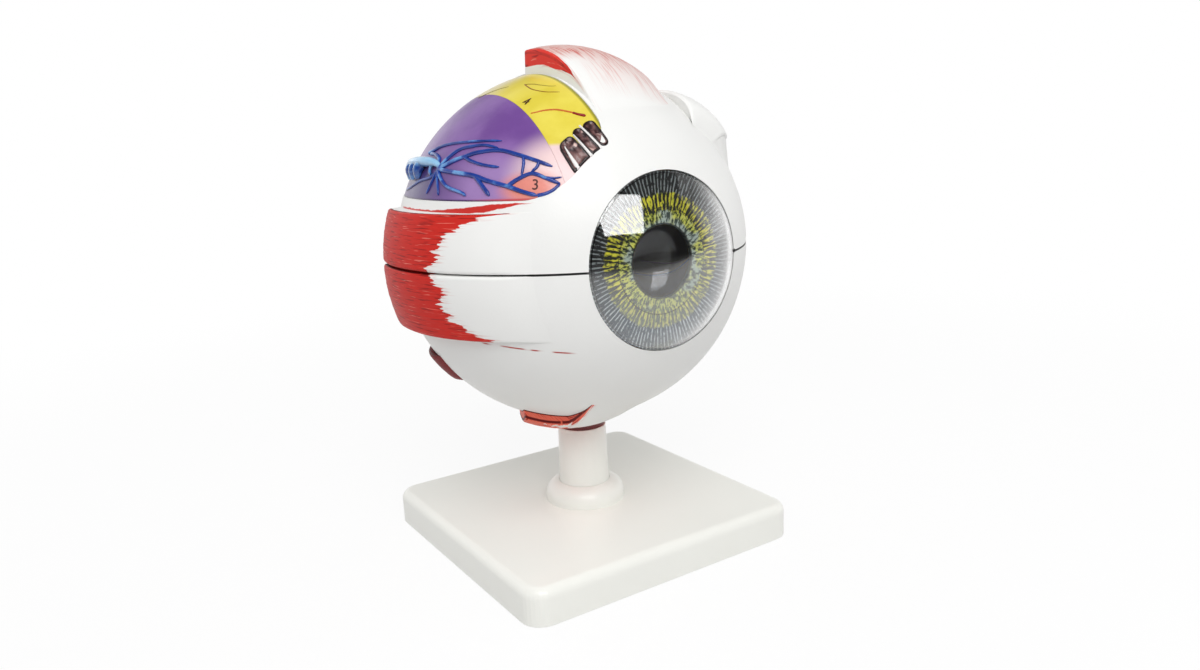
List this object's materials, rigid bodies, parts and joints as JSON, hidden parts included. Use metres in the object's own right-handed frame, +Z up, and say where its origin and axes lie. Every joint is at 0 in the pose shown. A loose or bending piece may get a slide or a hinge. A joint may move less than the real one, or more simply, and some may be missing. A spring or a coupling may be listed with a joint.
{
  "type": "eye anatomy model",
  "caption": "Take-apart model of a human eye on a post and square foot: white shell with muscles and a cut window, nested coats, clear vitreous body, lens, iris and cornea.",
  "frame": {"origin": "on the table, at the middle of the foot plate's underside, under the axis of the post", "axes": "+Z up along the post, -Y the way the eye looks, -X the temple side of this right eye"},
  "size_m": [0.1596, 0.17, 0.2134],
  "materials": {
    "base": "glossy moulded white",
    "steel": "satin steel",
    "sclera": "satin painted white",
    "dark_red": "dark red paint",
    "muscle": "painted red with fibre strokes, fading to white tendon",
    "tendon": "satin painted white",
    "nerve_sheath": "painted cream",
    "nerve": "painted yellow bundle",
    "artery": "painted red",
    "vein": "painted blue",
    "vein_trunk": "glossy light blue",
    "choroid": "varnished violet",
    "retina": "varnished yellow",
    "ciliary": "dark brown paint",
    "clear_vitreous": "clear acrylic",
    "clear_lens": "clear acrylic",
    "zonule": "pale threads",
    "iris": "printed fibres, yellow green with a dark rim",
    "clear_cornea": "clear polished dome"
  },
  "bodies": {
    "stand": {"base_plate": "base", "post": "base", "base_screws": "steel", "base_washers": "steel"},
    "eyeball": {"lower_sclera": "sclera", "stem_plug": "dark_red", "stem_screw": "steel", "stem_washer": "steel", "locating_pins": "steel", "lateral_rectus_lower": "muscle", "medial_rectus_lower": "muscle", "inferior_rectus": "muscle", "inferior_oblique": "muscle", "optic_nerve_sheath": "nerve_sheath", "optic_nerve": "nerve", "central_retinal_artery": "artery", "central_retinal_vein": "vein"},
    "upper_sclera": {"upper_sclera": "sclera", "choroid_panel": "choroid", "retina_panel": "retina", "ciliary_comb": "ciliary", "vortex_vein_trunk": "vein_trunk", "vortex_veins": "vein", "lateral_rectus_upper": "muscle", "medial_rectus_upper": "muscle", "superior_rectus": "muscle", "superior_oblique": "tendon"},
    "upper_choroid": {"upper_choroid": "choroid", "upper_retina": "retina"},
    "lower_choroid": {"lower_choroid": "choroid", "lower_retina": "retina"},
    "core": {"vitreous_body": "clear_vitreous"},
    "lens": {"lens": "clear_lens", "zonule": "zonule"},
    "iris": {"iris": "iris", "ciliary_ring": "ciliary"},
    "cornea": {"cornea": "clear_cornea"}
  },
  "joints": [
    {"name": "eye_turn", "type": "hinge", "parent": "stand", "child": "eyeball", "pos_m": [0, 0, 0.0494], "axis": [0, 0, 1], "continuous": true},
    {"name": "open_lift", "type": "slide", "parent": "eyeball", "child": "upper_sclera", "axis": [0, 0, 1], "range_m": [0, 0.3]},
    {"name": "upper_coat_lift", "type": "slide", "parent": "eyeball", "child": "upper_choroid", "axis": [0, 0, 1], "range_m": [0, 0.225]},
    {"name": "core_lift", "type": "slide", "parent": "eyeball", "child": "core", "axis": [0, 0, 1], "range_m": [0, 0.15]},
    {"name": "lower_coat_lift", "type": "slide", "parent": "eyeball", "child": "lower_choroid", "axis": [0, 0, 1], "range_m": [0, 0.075]},
    {"name": "front_pull", "type": "slide", "parent": "core", "child": "cornea", "axis": [0, -1, 0], "range_m": [0, 0.1]},
    {"name": "iris_pull", "type": "slide", "parent": "core", "child": "iris", "axis": [0, -1, 0], "range_m": [0, 0.0667]},
    {"name": "lens_pull", "type": "slide", "parent": "core", "child": "lens", "axis": [0, -1, 0], "range_m": [0, 0.0334]}
  ],
  "couplings": [
    {"joint": "upper_coat_lift", "follows": "open_lift", "ratio": 0.75},
    {"joint": "core_lift", "follows": "open_lift", "ratio": 0.5},
    {"joint": "lower_coat_lift", "follows": "open_lift", "ratio": 0.25},
    {"joint": "iris_pull", "follows": "front_pull", "ratio": 0.6666},
    {"joint": "lens_pull", "follows": "front_pull", "ratio": 0.3333}
  ]
}
